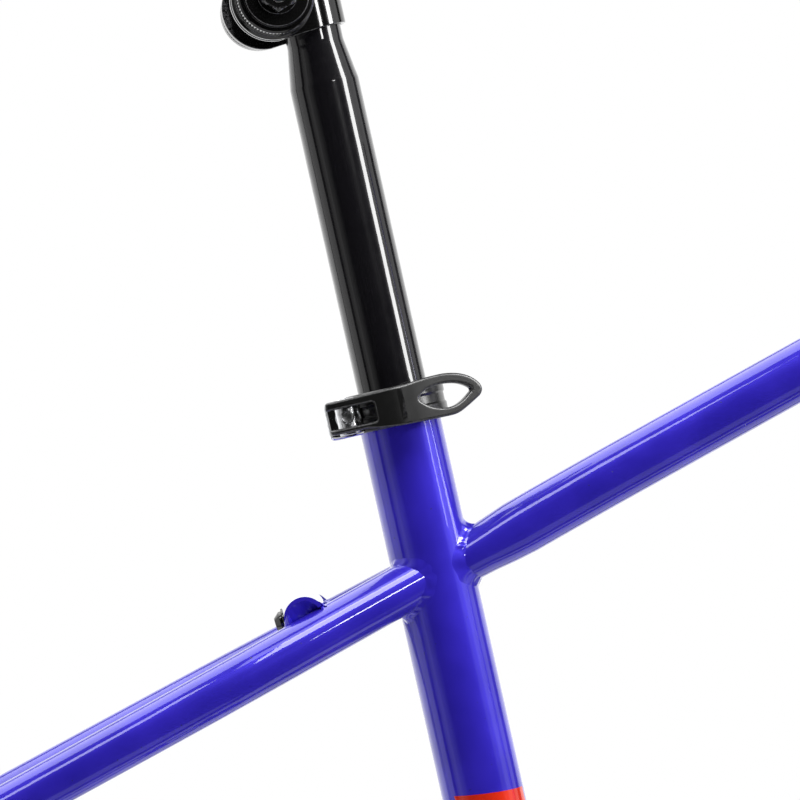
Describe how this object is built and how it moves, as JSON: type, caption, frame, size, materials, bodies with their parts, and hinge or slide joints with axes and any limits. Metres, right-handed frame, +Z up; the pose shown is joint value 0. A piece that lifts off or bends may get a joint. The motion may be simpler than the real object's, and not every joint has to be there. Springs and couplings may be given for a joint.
{
  "type": "bicycle frame",
  "caption": "Welded steel bicycle frame with seatpost, quick-release seat clamp, saddle clamp, headset cups and bottom bracket.",
  "frame": {"origin": "centre of the bottom bracket, on the crank axis, in the frame's middle plane", "axes": "+X forward, +Y to the rider's left, +Z up"},
  "size_m": [0.9139, 0.1568, 0.6046],
  "materials": {
    "frame_paint": "gloss",
    "black_gloss": "gloss",
    "black_metal": "satin black anodised",
    "chrome": "polished",
    "steel": "machined",
    "guide_plastic": "moulded",
    "decal": "clear-coated decal"
  },
  "bodies": {
    "main_frame": {"seat_tube": "frame_paint", "top_tube": "frame_paint", "down_tube": "frame_paint", "head_tube": "frame_paint", "bottom_bracket_shell": "frame_paint", "seatstay_left": "frame_paint", "seatstay_right": "frame_paint", "chainstay_left": "frame_paint", "chainstay_right": "frame_paint", "dropout_left": "frame_paint", "dropout_right": "frame_paint", "seatstay_bridge": "frame_paint", "chainstay_bridge": "frame_paint", "bridge_bolt": "black_metal", "disc_brake_tab": "frame_paint", "bottle_boss_lower": "steel", "bottle_boss_upper": "steel", "cable_stop_left": "frame_paint", "cable_stop_right": "frame_paint", "bb_cable_guide": "guide_plastic", "bb_guide_screw": "steel", "headset_upper_cup": "black_metal", "headset_lower_cup": "black_metal", "bb_cup_left": "black_metal", "bb_cup_right": "black_metal", "bb_bearing_left": "steel", "bb_bearing_right": "steel", "bb_sleeve": "steel"},
    "upper_bearing": {"headset_upper_bearing": "steel"},
    "lower_bearing": {"headset_lower_bearing": "steel"},
    "spindle": {"bb_spindle": "steel"},
    "seat_clamp": {"seat_clamp_collar": "black_metal", "seat_clamp_cam_washer": "chrome", "seat_clamp_skewer": "chrome", "seat_clamp_barrel": "chrome"},
    "clamp_lever": {"seat_clamp_lever": "black_metal"},
    "clamp_nut": {"seat_clamp_nut": "chrome"},
    "post": {"seatpost": "black_gloss"},
    "saddle_clamp": {"saddle_clamp_strap": "black_gloss"},
    "rail_clamp": {"rail_cup_inner_left": "black_gloss", "rail_cup_outer_left": "black_gloss", "rail_clamp_nut_left": "black_gloss", "rail_cup_inner_right": "black_gloss", "rail_cup_outer_right": "black_gloss", "rail_clamp_nut_right": "black_gloss", "rail_clamp_bolt": "steel"}
  },
  "joints": [
    {"name": "upper_bearing_turn", "type": "hinge", "parent": "main_frame", "child": "upper_bearing", "pos_m": [0.41161, 0, 0.55823], "axis": [-0.3256, 0, 0.9455], "continuous": true},
    {"name": "lower_bearing_turn", "type": "hinge", "parent": "main_frame", "child": "lower_bearing", "pos_m": [0.45067, 0, 0.44477], "axis": [-0.3256, 0, 0.9455], "continuous": true},
    {"name": "spindle_turn", "type": "hinge", "parent": "main_frame", "child": "spindle", "pos_m": [0, 0, 0], "axis": [0, 1, 0], "continuous": true},
    {"name": "clamp_turn", "type": "hinge", "parent": "main_frame", "child": "seat_clamp", "pos_m": [-0.07199, 0, 0.32205], "axis": [-0.2181, 0, 0.9759], "continuous": true},
    {"name": "lever_open", "type": "hinge", "parent": "seat_clamp", "child": "clamp_lever", "pos_m": [-0.09085, -0.0215, 0.31886], "axis": [0.2181, 0, -0.9759], "range_deg": [0, 175]},
    {"name": "nut_turn", "type": "hinge", "parent": "seat_clamp", "child": "clamp_nut", "pos_m": [-0.09085, 0, 0.31886], "axis": [0, 1, 0], "continuous": true},
    {"name": "post_height", "type": "slide", "parent": "main_frame", "child": "post", "axis": [-0.2181, 0, 0.9759], "range_m": [-0.115, 0.06]},
    {"name": "saddle_clamp_turn", "type": "hinge", "parent": "post", "child": "saddle_clamp", "pos_m": [-0.10765, 0, 0.48161], "axis": [-0.2181, 0, 0.9759], "continuous": true},
    {"name": "saddle_tilt", "type": "hinge", "parent": "saddle_clamp", "child": "rail_clamp", "pos_m": [-0.12236, -0.00266, 0.47833], "axis": [-0.1695, 0.9848, -0.0379], "range_deg": [-20, 20]}
  ]
}
